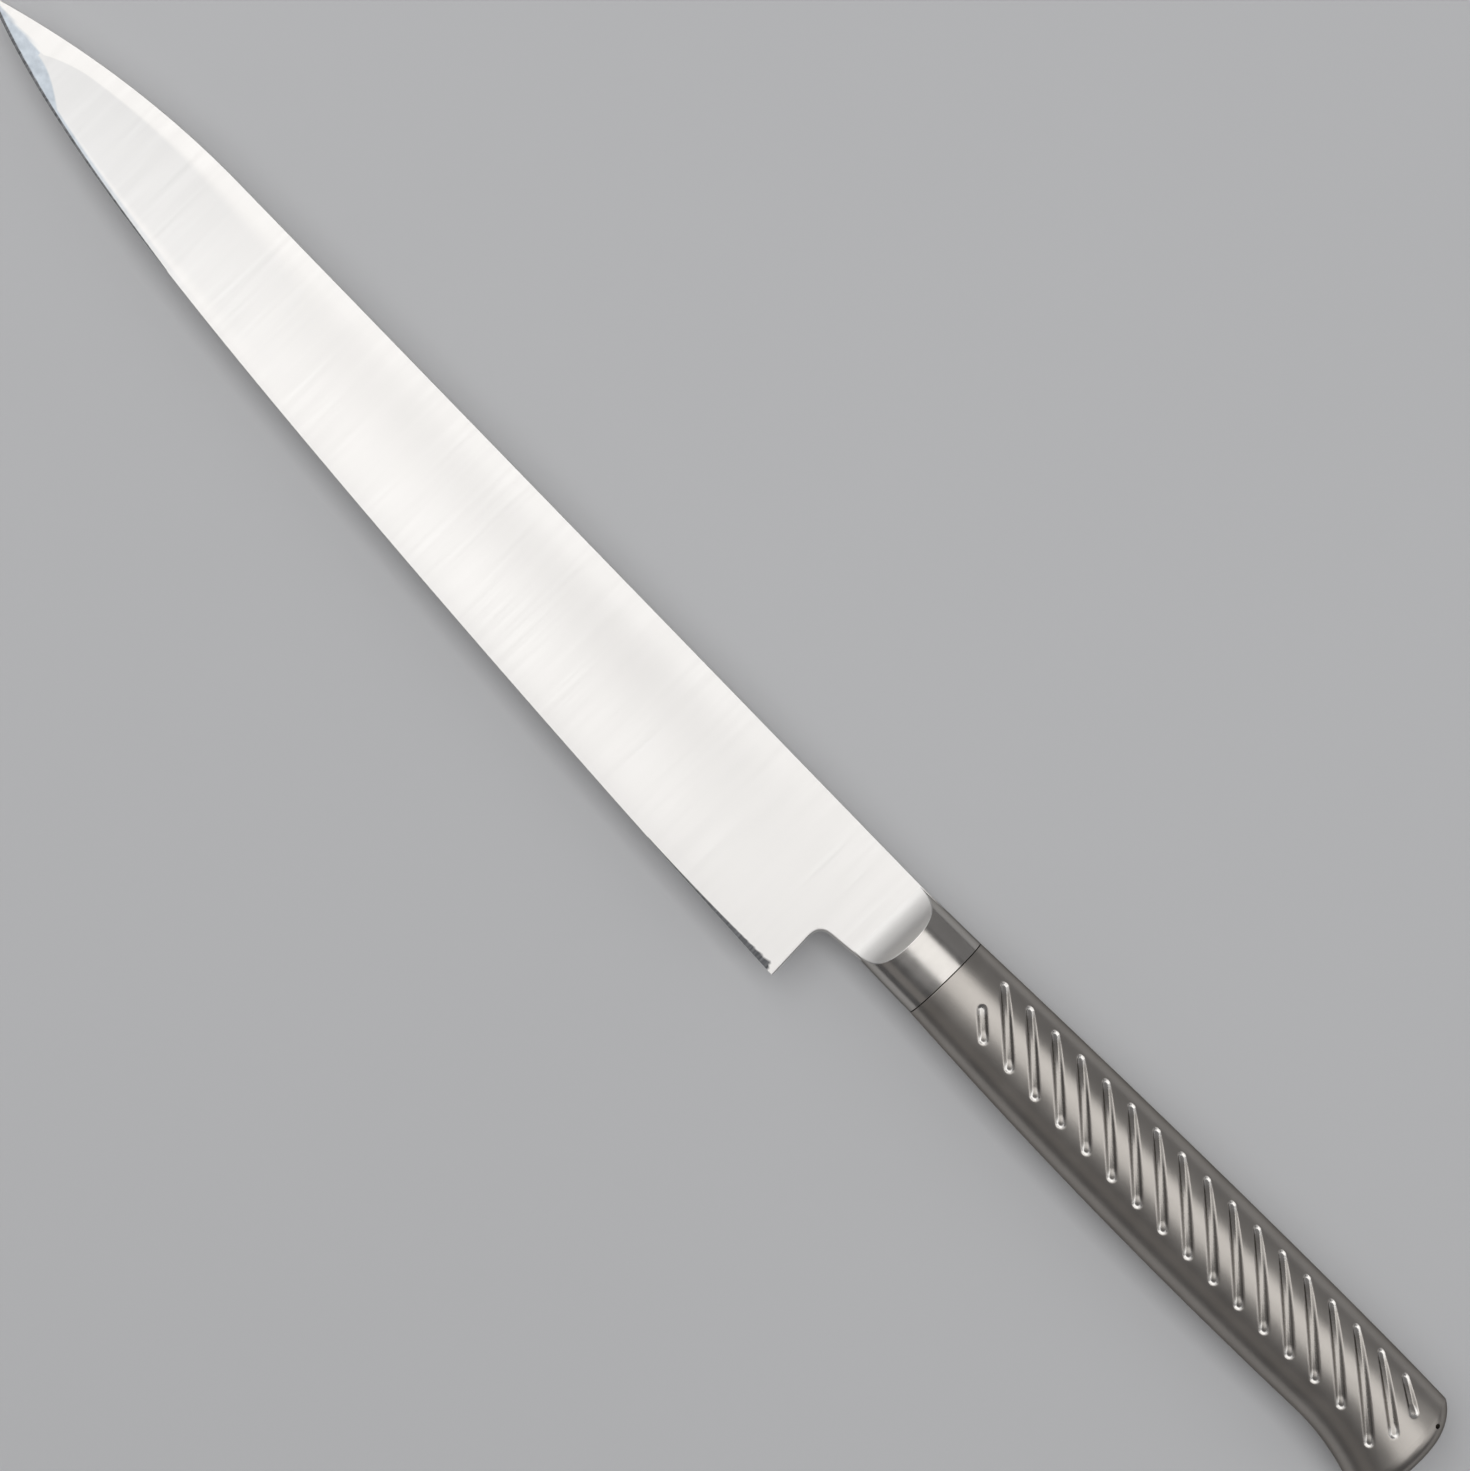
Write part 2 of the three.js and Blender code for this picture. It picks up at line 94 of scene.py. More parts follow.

# Flat made on a stone at the tip of the back, and along the edge next to it; its bluish grey is a painted
# reflection of grey surroundings
STONED_RISE = 0.6
STONED_SOFTNESS = 0.5
STONED_LENGTH = 22
STONED_FADE_LENGTH = 52

# Neck
HEEL_SETBACK = 23.95
HEEL_SLANT = 0.05
NECK_HEIGHT = 19.4
NECK_TAPER = 0.11
NECK_SOCKET = 4.4
NECK_EDGE_ROUND = 0.4
CHOIL_RADIUS = 3

# Bolster
BOLSTER_LENGTH = 14.25
BOLSTER_BELLY_DROP = 0.15
BOLSTER_BELLY_POWER = 3
BOLSTER_FRONT_THICKNESS = 12.4
SCOOP_RADIUS = 10
SCOOP_FOOT = 18.4
SCOOP_SINK = 0.32
SCOOP_STEEPEST = math.radians(68)
SCOOP_SOFTNESS = 0.2
SCOOP_MARK_DEPTH = 0.36
SCOOP_MARK_SOFTNESS = 0.3
SPIGOT_LENGTH = 8
SPIGOT_STEP = 0.01

# Handle outline, measured back from the joint
HANDLE_LENGTH = 129.75
JOINT_SPINE_Y = -0.45
JOINT_BELLY_Y = 18.5
JOINT_THICKNESS = 13.4
GRIP_THICKNESS = 17.16
GRIP_THICKEST_AT = 78
SPINE_HUMP = 3.29
SPINE_HUMP_SETBACK = 13.6
SPINE_HUMP_POWER = 1.6
BELLY_SWELL = 1.2
BELLY_SWELL_AT = 53
HOOK_DROP = 6.4
HOOK_LENGTH = 23.6
SECTION_POWER = 2.25
BUTT_DOME = 5
BUTT_FLAT = 0.05
BUTT_SPINE_CORNER = 1.3
BUTT_SPINE_END = 2.75
BUTT_FLANK_CORNER = 3
BUTT_FLANK_END = 2

# Handle sheet, welds and butt cap
SHELL_WALL = 1.2
SEAM_WELD_WIDTH = 0.8
JOINT_GAP = 0.14
MOUTH_ROUND = 0.07
MOUTH_LIP_SHARES = (0, 0.3, 0.65)
CAP_LAST_TURN = math.radians(89.5)
VENT_RADIUS = 0.5
VENT_SETBACK = 3.6
VENT_Y = 1.2
VENT_FLOOR_Z = 2.86

# Pressed grip grooves
GROOVE_PITCH = 6.67
GROOVE_ANGLE = math.radians(41.5)
GROOVE_FAN = math.radians(24)
GROOVE_FAN_POWER = 9
GROOVE_WIDTH = 2.3
GROOVE_FLOOR_WIDTH = 0.7
GROOVE_DEPTH = 0.5
GROOVE_SPINE_MARGIN = 2.85
GROOVE_BELLY_MARGIN = 7
GROOVE_FRONT_MARGIN = 8.7
GROOVE_BUTT_MARGIN = 8.9
GROOVE_SHORTEST = 3
GROOVE_END_REACH = 1.8
GROOVE_END_RISE = 0.5
GROOVE_FIT_ROUNDS = 8

CLEARANCE = 0.3
OVERCUT = 5

# Fineness of the meshes
BLADE_BODY_STATIONS = 380
BLADE_TIP_STATIONS = 240
FRONT_POINTS = 12
BEVEL_POINTS = 14
EDGE_RIM_POINTS = 13
EDGE_RIM_POWER = 1.6
HOLLOW_POINTS = 44
SPINE_RIM_POINTS = 5
CHOIL_POINTS = 24
NECK_ROUND_LAYERS = 6
BOLSTER_POINTS = 320
BARREL_STATIONS = 30
SCOOP_STATIONS = 100
MOUTH_STATIONS = 3
SHELL_STATIONS = 660
SHELL_BELLY_POINTS = 16
SHELL_GRIP_POINTS = 106
SHELL_SPINE_POINTS = 14
SHELL_OUTER_POINTS = SHELL_BELLY_POINTS + SHELL_GRIP_POINTS + SHELL_SPINE_POINTS
SHELL_INNER_POINTS = 8
GRIP_BELLY_ANGLE = math.radians(60)
GRIP_SPINE_ANGLE = math.radians(148)
GROOVE_POINTS = 16
SEAM_STATIONS = 300
BUTT_POINTS = 240
BUTT_WELD_STATIONS = 12
CAP_STATIONS = 70
VENT_POINTS = 32

# Edges that bend further than these stay sharp
BLADE_SHARP_DEGREES = 12
CHOIL_SHARP_DEGREES = 25
HANDLE_SHARP_DEGREES = 40

# Colours of the finishes, and of the painted shade, reflection and glints
BLADE_DARK = (0.86, 0.842, 0.817, 1)
BLADE_LIGHT = (0.88, 0.862, 0.838, 1)
# The hollow's darker colour: partly its own grind, partly painted shade
HOLLOW_GRIND_AND_SHADE_COLOR = (0.73, 0.726, 0.718, 1)
HOLLOW_GRIND_AND_SHADE_SHARE = 0.8
# Painted reflection: the stoned flat's bluish grey
STONED_PAINTED_REFLECTION_DARK = (0.47, 0.515, 0.56, 1)
STONED_PAINTED_REFLECTION_LIGHT = (0.6, 0.65, 0.7, 1)
# Painted shade along the keen edge and at the heel
PAINTED_EDGE_SHADE_DARK = (0.07, 0.072, 0.076, 1)
PAINTED_EDGE_SHADE_LIGHT = (0.2, 0.203, 0.21, 1)
BARREL_DARK = (0.54, 0.515, 0.485, 1)
BARREL_LIGHT = (0.59, 0.565, 0.535, 1)
SCOOP_COLOR = (0.83, 0.815, 0.793, 1)
SHELL_DARK = (0.42, 0.393, 0.362, 1)
SHELL_LIGHT = (0.48, 0.45, 0.416, 1)
WELD_DARK = (0.4, 0.375, 0.346, 1)
WELD_LIGHT = (0.46, 0.431, 0.399, 1)
# Painted shade darkening the groove walls
GROOVE_WALL_PAINTED_SHADE_COLOR = (0.2, 0.19, 0.178, 1)
GROOVE_WALL_PAINTED_SHADE_SHARE = 0.3
# Painted glints at the groove ends
GROOVE_END_PAINTED_GLINT_COLOR = (0.95, 0.93, 0.9, 1)
GRAZING_TINT = (0.3, 0.295, 0.29, 1)
FLOOR_DARK = (0.75, 0.755, 0.765, 1)
FLOOR_LIGHT = (0.78, 0.785, 0.795, 1)

# Roughness of the finishes: the low and high end of a range, or what is added to it
BLADE_ROUGHNESS = (0.39, 0.43)
BARREL_ROUGHNESS = (0.17, 0.2)
BARREL_RING_ROUGHNESS = (0, 0.04)
SCOOP_ADDED_ROUGHNESS = 0.2
SHELL_ROUGHNESS = (0.31, 0.35)
SHELL_GRIT_ROUGHNESS = (-0.03, 0.03)
GROOVE_WALL_ADDED_ROUGHNESS = -0.08
FLOOR_ROUGHNESS = 0.8

# The part of a noise's range that it mostly keeps to
NOISE_LOW = 0.3
NOISE_HIGH = 0.7

# Camera over the knife, with the photo's scale on the plane through the handle's middle
PHOTO_WIDTH = 1470
PHOTO_PX_PER_MM = 5.2
PHOTO_CENTRE = (61.45, 5.6)
PHOTO_TURN = math.radians(45.85086)
CAMERA_HEIGHT = 675
SENSOR_WIDTH = 36

# Floor and lights, in metres
FLOOR_HALF_SIZE = 3
LIGHT_DISTANCE = 1.2
WHITE_LIGHT = (1, 1, 1)
WARM_LIGHT = (1, 0.94, 0.88)
WORLD_COLOR = (0.11, 0.11, 0.115, 1)

TIP_X = HEEL_SETBACK + EDGE_LENGTH
BACK_Z = HEEL_THICKNESS / 2
NECK_END_X = BOLSTER_LENGTH - NECK_SOCKET
SHELL_END = HANDLE_LENGTH - BUTT_DOME
CAP_START = SHELL_END + SEAM_WELD_WIDTH

# The blade's packed box ties the knife's own axes to the frame: its tip, its spine and its flat back.
blade_low, blade_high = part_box("blade")
ORIGIN = Vector((blade_high.x - TIP_X * MM, blade_low.y, blade_high.z - BACK_Z * MM))


def placed(x, y, z):
    return ORIGIN + Vector((x, y, z)) * MM


def steps(start, end, count):
    return [start + (end - start) * i / count for i in range(count + 1)]


def lerp(start, end, share):
    return start + (end - start) * share


def clamped(value):
    return max(0.0, min(1.0, value))


def smooth_share(value):
    value = clamped(value)
    return value * value * (3 - 2 * value)


def blend_share(distance, softness):
    """A soft step from 0 to 1, centred where the distance is 0."""
    return smooth_share(distance / softness + 0.5)


def arch_share(distance, arch):
    """Quarter-ellipse run from 0 at an end to 1 at the given distance from it."""
    left = 1 - clamped(distance / arch)
    return math.sqrt(1 - left * left)


def smaller(a, b, softness):
    """The lower of two heights, with a round blend where they cross."""
    mix = max(softness - abs(a - b), 0) / softness
    return min(a, b) - mix * mix * softness / 4


# Mesh helpers


def scene_object(name, data):
    made = bpy.data.objects.new(name, data)
    bpy.context.scene.collection.objects.link(made)
    return made


def mesh_object(name, points, faces, sharp_degrees=None):
    mesh = bpy.data.meshes.new(name)
    mesh.from_pydata([placed(*point) for point in points], [], faces)
    mesh.validate()
    mesh.shade_smooth()
    if sharp_degrees is not None:
        mesh.set_sharp_from_angle(angle=math.radians(sharp_degrees))
    return scene_object(name, mesh)


def loft(name, rings, sharp_degrees=None):
    """Skins rings of points that run counterclockwise as seen from the last one, and caps both ends."""
    size = len(rings[0])
    points = [point for ring in rings for point in ring]
    faces = [list(reversed(range(size)))]
    for row in range(len(rings) - 1):
        for column in range(size):
            following = (column + 1) % size
            low = row * size
            faces.append((low + column, low + following, low + size + following, low + size + column))
    last = (len(rings) - 1) * size
    faces.append([last + column for column in range(size)])
    return mesh_object(name, points, faces, sharp_degrees)


def plain_result(piece, sharp_degrees=None):
    """Replaces a piece's mesh by what its modifiers make of it."""
    graph = bpy.context.evaluated_depsgraph_get()
    old = piece.data
    piece_mesh = bpy.data.meshes.new_from_object(piece.evaluated_get(graph), depsgraph=graph)
    piece.modifiers.clear()
    piece.data = piece_mesh
    bpy.data.meshes.remove(old)
    piece_mesh.name = piece.name
    if sharp_degrees is not None:
        piece_mesh.shade_smooth()
        piece_mesh.set_sharp_from_angle(angle=math.radians(sharp_degrees))


def cut(piece, cutter, sharp_degrees):
    boolean = piece.modifiers.new("cut", "BOOLEAN")
    boolean.operation = "DIFFERENCE"
    boolean.solver = "EXACT"
    boolean.object = cutter
    plain_result(piece, sharp_degrees)
    bpy.data.objects.remove(cutter)


# Blade


def spine_y(x):
    along = max(0, x - (TIP_X - SPINE_CURVE_LENGTH)) / SPINE_CURVE_LENGTH
    return (TIP_DROP - TIP_FLAT / 2) * along * along


def edge_y(x):
    along = max(0, x - HEEL_SETBACK) / EDGE_LENGTH
    tip_share = 1 - EDGE_STRAIGHT_SHARE - EDGE_BOW_SHARE
    lift = EDGE_STRAIGHT_SHARE * along + EDGE_BOW_SHARE * along**2 + tip_share * along**EDGE_TIP_POWER
    return HEEL_HEIGHT - (HEEL_HEIGHT - TIP_DROP - TIP_FLAT / 2) * lift


def bevel_width(x):
    room = TIP_BEVEL_SHARE * (edge_y(x) - spine_y(x))
    return (BEVEL_WIDTH**-TIP_BEVEL_BLEND + room**-TIP_BEVEL_BLEND) ** (-1 / TIP_BEVEL_BLEND)


def blade_thickness(x):
    taper = (HEEL_THICKNESS - TIP_THICKNESS) / EDGE_LENGTH
    flat = HEEL_THICKNESS - taper * (x - HEEL_SETBACK)
    return min(flat, EDGE_THICKNESS + TIP_GRIND_SLOPE * bevel_width(x))


def hollow_span(x):
    """The middle and half width of the hollow at a station, and how far it is open there."""
    spine, edge = spine_y(x), edge_y(x)
    span = edge - spine
    share = arch_share(TIP_X - HOLLOW_TIP_MARGIN - x, HOLLOW_TIP_ARCH)
    share *= arch_share(x - HEEL_SETBACK, HOLLOW_HEEL_ARCH)
    squeeze = min(1, span / (HOLLOW_SPINE_RIM + HOLLOW_EDGE_RIM))
    low = spine + HOLLOW_SPINE_RIM * squeeze
    high = edge - HOLLOW_EDGE_RIM * squeeze
    half = max((high - low) / 2 * share, HOLLOW_LEAST_SHARE * span)
    return (low + high) / 2, half, share


def hollow_curve(x):
    """The hollow's curve across the back, from its border near the edge to its border near the spine."""
    middle, half, share = hollow_span(x)
    deepest = half**2 / (2 * HOLLOW_RADIUS) if share > 0 else 0
    deepest *= smooth_share((x - HEEL_SETBACK) / HOLLOW_HEEL_FADE)
    soft = smooth_share((TIP_X - HOLLOW_CRISP_LENGTH - x) / HOLLOW_FADE_LENGTH)
    curve = []
    for at in steps(1, -1, HOLLOW_POINTS):
        dip = 1 - at * at
        dip *= 1 - soft + soft * dip
        curve.append((middle + half * at, BACK_Z - deepest * dip))
    return curve


def blade_ring(x):
    """The section of the blade: flat front, bevel, edge, hollow back between its rims, and spine."""
    spine, edge = spine_y(x), edge_y(x)
    front = BACK_Z - blade_thickness(x)
    ridge = edge - bevel_width(x)
    bevel_end = BACK_Z - EDGE_THICKNESS
    height_room = SPINE_ROUND_HEIGHT_SHARE * (edge - spine)
    thickness_room = SPINE_ROUND_THICKNESS_SHARE * (BACK_Z - front)
    corner = min(SPINE_ROUND, height_room, thickness_room)
    hollow = hollow_curve(x)
    hollow_start, hollow_end = hollow[0][0], hollow[-1][0]
    ring = [(y, front) for y in steps(spine + corner, ridge, FRONT_POINTS)]
    for down in steps(0, 1, BEVEL_POINTS)[1:]:
        ring.append((lerp(ridge, edge, down), lerp(front, bevel_end, down)))
    for up in steps(0, 1, EDGE_RIM_POINTS)[:-1]:
        ring.append((lerp(edge, hollow_start, up**EDGE_RIM_POWER), BACK_Z))
    ring += hollow
    ring += [(y, BACK_Z) for y in steps(hollow_end, spine + corner, SPINE_RIM_POINTS)[1:]]
    ring += [(spine, BACK_Z - corner), (spine, front + corner)]
    return [(x, y, z) for y, z in ring]


def choil_outline(grown):
    """What lies behind the heel and below the neck, with a round choil, grown into the blade by a margin."""
    back = NECK_END_X - OVERCUT
    low = HEEL_HEIGHT + OVERCUT
    heel = HEEL_SETBACK + grown
    neck = NECK_HEIGHT - grown
    start = Vector((heel, neck + CHOIL_RADIUS))
    corner = Vector((heel, neck))
    end = Vector((heel - CHOIL_RADIUS, neck - NECK_TAPER * CHOIL_RADIUS))
    outline = [(back, low), (heel - HEEL_SLANT * (low - start.y), low)]
    for share in steps(0, 1, CHOIL_POINTS):
        outline.append(tuple(start.lerp(corner, share).lerp(corner.lerp(end, share), share)))
    outline.append((back, neck - NECK_TAPER * (heel - back)))
    return outline


def choil_cutter():
    """A cutter that flares towards both faces, so that it leaves the edges of heel and neck rounded."""
    front = BACK_Z - HEEL_THICKNESS
    spare = NECK_EDGE_ROUND + OVERCUT
    quarter = steps(0, math.pi / 2, NECK_ROUND_LAYERS)
    rounded = [(1 - math.sin(turn), 1 - math.cos(turn)) for turn in quarter]
    layers = [(front - OVERCUT, spare)]
    layers += [(front + NECK_EDGE_ROUND * rise, NECK_EDGE_ROUND * grown) for grown, rise in rounded]
    layers += [(BACK_Z - NECK_EDGE_ROUND * rise, NECK_EDGE_ROUND * grown) for grown, rise in rounded[::-1]]
    layers += [(BACK_Z + OVERCUT, spare)]
    rings = [[(x, y, z) for x, y in reversed(choil_outline(grown))] for z, grown in layers]
    return loft("choil_cutter", rings)


def stoned_with_painted_reflection_share(x, y):
    """How far a point of the back was flattened on a stone: the flat of the tip and the rim next to it,
    which are painted bluish grey as a reflection.
    """
    middle, half, _ = hollow_span(x)
    apex = TIP_X - HOLLOW_TIP_MARGIN
    toward_apex = clamped((x - (apex - HOLLOW_TIP_ARCH)) / HOLLOW_TIP_ARCH)
    border = middle + half * (1 - toward_apex)
    if x > apex:
        border = lerp(hollow_span(apex)[0] - STONED_RISE, spine_y(TIP_X), (x - apex) / HOLLOW_TIP_MARGIN)
    near_tip = 1 - smooth_share((TIP_X - STONED_LENGTH - x) / STONED_FADE_LENGTH)
    return near_tip * blend_share(y - border, STONED_SOFTNESS)


def hollow_grind_and_shade_share(x, y):
    """How strongly the hollow is painted darker than the rims, partly for its own grind and partly as
    painted shade of its curve: crisp near the tip, gone further back.
    """
    middle, half, share = hollow_span(x)
    if share <= 0:
        return 0
    from_tip = smooth_share((TIP_X - HOLLOW_CRISP_LENGTH / 2 - x) / HOLLOW_FADE_LENGTH)
    border = lerp(HOLLOW_CRISP_BORDER, HOLLOW_SOFT_BORDER, from_tip)
    return (1 - from_tip) * smooth_share((half - abs(y - middle)) / border)


def edge_shade_share(x, y):
    """Painted shade: the dark line along the keen edge near the tip, and the thin dark rim that widens to
    the heel.
    """
    from_edge = edge_y(x) - y
    toward_tip = 1 - clamped((TIP_X - x) / EDGE_LINE_LENGTH)
    tip_line = EDGE_LINE_WIDTH * toward_tip**EDGE_LINE_POWER
    toward_heel = 1 - clamped((x - HEEL_SETBACK) / HEEL_SHADE_LENGTH)
    heel_end = smooth_share((x - HEEL_SETBACK - HEEL_SHADE_SETBACK) / HEEL_SHADE_FADE)
    heel_line = HEEL_SHADE_WIDTH * toward_heel**HEEL_SHADE_POWER * heel_end
    width = max(tip_line, heel_line)
    if width < EDGE_LINE_SOFTNESS / 2:
        return 0
    return blend_share(width - from_edge, EDGE_LINE_SOFTNESS)


def mark_back(mesh):
    """Marks the finishes on the back of the blade, and the painted shade and reflection that go with them.
    """
    finishes_and_painted_light = {"stoned": stoned_with_painted_reflection_share, "hollow": hollow_grind_and_shade_share, "edge_shade": edge_shade_share}
    for name, share_of in finishes_and_painted_light.items():
        mark = mesh.attributes.new(name, "FLOAT", "POINT")
        for vertex, value in zip(mesh.vertices, mark.data):
            x, y, _ = (vertex.co - ORIGIN) / MM
            if x > HEEL_SETBACK and vertex.normal.z > 0:
                value.value = share_of(x, y)


def make_blade():
    stations = steps(NECK_END_X, TIP_X - SPINE_CURVE_LENGTH, BLADE_BODY_STATIONS)
    stations += steps(TIP_X - SPINE_CURVE_LENGTH, TIP_X, BLADE_TIP_STATIONS)[1:]
    blade = loft("blade_body", [blade_ring(x) for x in stations], BLADE_SHARP_DEGREES)
    cut(blade, choil_cutter(), CHOIL_SHARP_DEGREES)
    mark_back(blade.data)
    return blade


# Handle section: an oval between the spine line and the belly line


def handle_spine_y(back):
    left = abs(1 - back / (HANDLE_LENGTH - SPINE_HUMP_SETBACK))
    return JOINT_SPINE_Y - SPINE_HUMP * (1 - left**SPINE_HUMP_POWER)


def handle_belly_y(back):
    swell = BELLY_SWELL * (1 - (back / BELLY_SWELL_AT - 1) ** 2)
    hook = max(0, back - (HANDLE_LENGTH - HOOK_LENGTH)) / HOOK_LENGTH
    return JOINT_BELLY_Y + swell + HOOK_DROP * hook * hook


def handle_half_thickness(back):
    growth = (GRIP_THICKNESS - JOINT_THICKNESS) / 2
    return JOINT_THICKNESS / 2 + growth * (1 - (back / GRIP_THICKEST_AT - 1) ** 2)


def handle_oval(back):
    spine, belly = handle_spine_y(back), handle_belly_y(back)
    return (spine + belly) / 2, (belly - spine) / 2, handle_half_thickness(back)


def bolster_oval(x):
    along = x / BOLSTER_LENGTH
    spine = JOINT_SPINE_Y * (1 - along)
    belly = JOINT_BELLY_Y - BOLSTER_BELLY_DROP * along**BOLSTER_BELLY_POWER
    thickness = lerp(JOINT_THICKNESS, BOLSTER_FRONT_THICKNESS, along)
    return (spine + belly) / 2, (belly - spine) / 2, thickness / 2


def bent(value):
    return math.copysign(abs(value) ** (2 / SECTION_POWER), value)


def oval_point(oval, angle, inset=0):
    middle, half_height, half_thickness = oval
    y = middle + (half_height - inset) * bent(math.cos(angle))
    return y, (half_thickness - inset) * bent(math.sin(angle))


def oval_ring(x, oval, count, inset=0):
    return [(x, *oval_point(oval, angle, inset)) for angle in steps(0, 2 * math.pi, count)[:-1]]


# Bolster


def scoop_height(x, z):
    """How far the scooped cheek on a point's side stands out from the knife's mid-plane."""
    face = BACK_Z if z > 0 else blade_thickness(NECK_END_X) - BACK_Z
    reach = max(0, SCOOP_FOOT - x)
    if reach >= SCOOP_RADIUS:
        return face + 2 * SCOOP_RADIUS
    return face - SCOOP_SINK + SCOOP_RADIUS - math.sqrt(SCOOP_RADIUS**2 - reach**2)


def bolster_ring(x, inset=0):
    ring = []
    for _, y, z in oval_ring(x, bolster_oval(x), BOLSTER_POINTS, inset):
        height = smaller(abs(z), scoop_height(x, z), SCOOP_SOFTNESS)
        ring.append((x, y, math.copysign(height, z)))
    return ring


def mark_scooped(mesh):
    """Marks the scooped cheeks, which are ground like the blade, apart from the polished barrel."""
    mark = mesh.attributes.new("scooped", "FLOAT", "POINT")
    for vertex, value in zip(mesh.vertices, mark.data):
        x, _, z = (vertex.co - ORIGIN) / MM
        depth = abs(z) - scoop_height(x, z) + SCOOP_MARK_DEPTH
        value.value = smooth_share(depth / SCOOP_MARK_SOFTNESS)


def make_bolster():
    """A spigot inside the shells, and a barrel that ends in two scooped cheeks on the neck."""
    joint = handle_oval(0)
    spigot = (-SPIGOT_LENGTH, -SPIGOT_STEP)
    rings = [oval_ring(x, joint, BOLSTER_POINTS, SHELL_WALL + CLEARANCE) for x in spigot]
    rings += [bolster_ring(x, MOUTH_ROUND - x) for x in steps(0, MOUTH_ROUND, MOUTH_STATIONS)]
    slopes = steps(SCOOP_STEEPEST, 0, SCOOP_STATIONS)
    cheek = [SCOOP_FOOT - SCOOP_RADIUS * math.sin(slope) for slope in slopes]
    barrel = steps(MOUTH_ROUND, cheek[0], BARREL_STATIONS)[1:-1]
    rings += [bolster_ring(x) for x in barrel + cheek]
    bolster = loft("bolster_collar", rings, HANDLE_SHARP_DEGREES)
    mark_scooped(bolster.data)
    return bolster


# Node helpers


def feed(tree, socket, value):
    """Gives an input a link, if the value is a socket, or else a plain value."""
    if isinstance(value, bpy.types.NodeSocket):
        tree.links.new(value, socket)
    else:
        socket.default_value = value


def linked(tree, node_type, *values, **settings):
    """Adds a node, sets it up and feeds its first inputs in order."""
    node = tree.nodes.new(node_type)
    for name, value in settings.items():
        setattr(node, name, value)
    for socket, value in zip(node.inputs, values):
        feed(tree, socket, value)
    return node


def times(tree, value, factor):
    return linked(tree, "ShaderNodeMath", value, factor, operation="MULTIPLY").outputs[0]


def added(tree, first, second):
    return linked(tree, "ShaderNodeMath", first, second, operation="ADD").outputs[0]


def remainder(tree, share):
    """What is left of 1."""
    return linked(tree, "ShaderNodeMath", 1.0, share, operation="SUBTRACT").outputs[0]


# Handle shells


def seam_angle(oval, inset):
    return math.asin((SEAM_WELD_WIDTH / 2 / (oval[2] - inset)) ** (SECTION_POWER / 2))


def shell_ring(back, side, mouth_inset):
    """Half of the tube's section: fine over the grip field outside, and plain inside."""
    oval = handle_oval(back)
    start = seam_angle(oval, mouth_inset)
    angles = steps(start, GRIP_BELLY_ANGLE, SHELL_BELLY_POINTS)
    angles += steps(GRIP_BELLY_ANGLE, GRIP_SPINE_ANGLE, SHELL_GRIP_POINTS)[1:]
    angles += steps(GRIP_SPINE_ANGLE, math.pi - start, SHELL_SPINE_POINTS)[1:]
    section = [oval_point(oval, angle, mouth_inset) for angle in angles]
    start = seam_angle(oval, SHELL_WALL)
    inner_angles = steps(math.pi - start, start, SHELL_INNER_POINTS)
    section += [oval_point(oval, angle, SHELL_WALL) for angle in inner_angles]
    ring = [(-back, y, side * z) for y, z in section]
    return ring if side > 0 else ring[::-1]


def flank_point(back, y, side):
    middle, half_height, half_thickness = handle_oval(back)
    across = min(1, abs((y - middle) / half_height))
    return -back, y, side * half_thickness * (1 - across**SECTION_POWER) ** (1 / SECTION_POWER)


def groove_runs():
    """The straight run of each groove's floor, clipped to the grip field: (back, y) at its two ends."""
    runs = []
    rear = HANDLE_LENGTH - GROOVE_BUTT_MARGIN
    first = GROOVE_FRONT_MARGIN - GROOVE_PITCH
    while first < rear:
        angle = GROOVE_ANGLE - GROOVE_FAN * (max(0, first) / HANDLE_LENGTH) ** GROOVE_FAN_POWER
        back_step, y_step = math.cos(angle), math.sin(angle)
        first_y = handle_spine_y(first) + GROOVE_SPINE_MARGIN
        start = max(0, (GROOVE_FRONT_MARGIN - first) / back_step)
        longest = (rear - first) / back_step
        end = longest
        for _ in range(GROOVE_FIT_ROUNDS):
            room = handle_belly_y(first + end * back_step) - GROOVE_BELLY_MARGIN - first_y
            end = min(longest, room / y_step)
        if end - start >= GROOVE_SHORTEST:
            runs.append([(first + run * back_step, first_y + run * y_step) for run in (start, end)])
        first += GROOVE_PITCH
    return runs


def loose_object(name, points, edges=()):
    mesh = bpy.data.meshes.new(name)
    mesh.from_pydata(points, edges, [])
    return scene_object(name, mesh)


def groove_guides(side):
    """Loose edges laid on the flank, one chain for each groove, and loose points at the grooves' ends."""
    points, edges, ends, belly_ends = [], [], [], []
    for (start_back, start_y), (end_back, end_y) in groove_runs():
        for share in steps(0, 1, GROOVE_POINTS):
            if share > 0:
                edges.append((len(points) - 1, len(points)))
            back = lerp(start_back, end_back, share)
            y = lerp(start_y, end_y, share)
            points.append(placed(*flank_point(back, y, side)))
        ends += [points[-1 - GROOVE_POINTS], points[-1]]
        belly_ends.append(points[-1])
    return {
        "Lines": loose_object("groove_lines", points, edges),
        "Ends": loose_object("groove_ends", ends),
        "Belly Ends": loose_object("groove_belly_ends", belly_ends),
    }


def closeness(tree, guide, element, far, near):
    """How close the skin lies to a guide: 0 from the far distance out, and 1 from the near distance in."""
    shape = linked(tree, "GeometryNodeObjectInfo", guide).outputs["Geometry"]
    distance = linked(tree, "GeometryNodeProximity", shape, target_element=element).outputs["Distance"]
    share = linked(tree, "ShaderNodeMapRange", distance, far, near, interpolation_type="SMOOTHSTEP")
    return share.outputs["Result"]


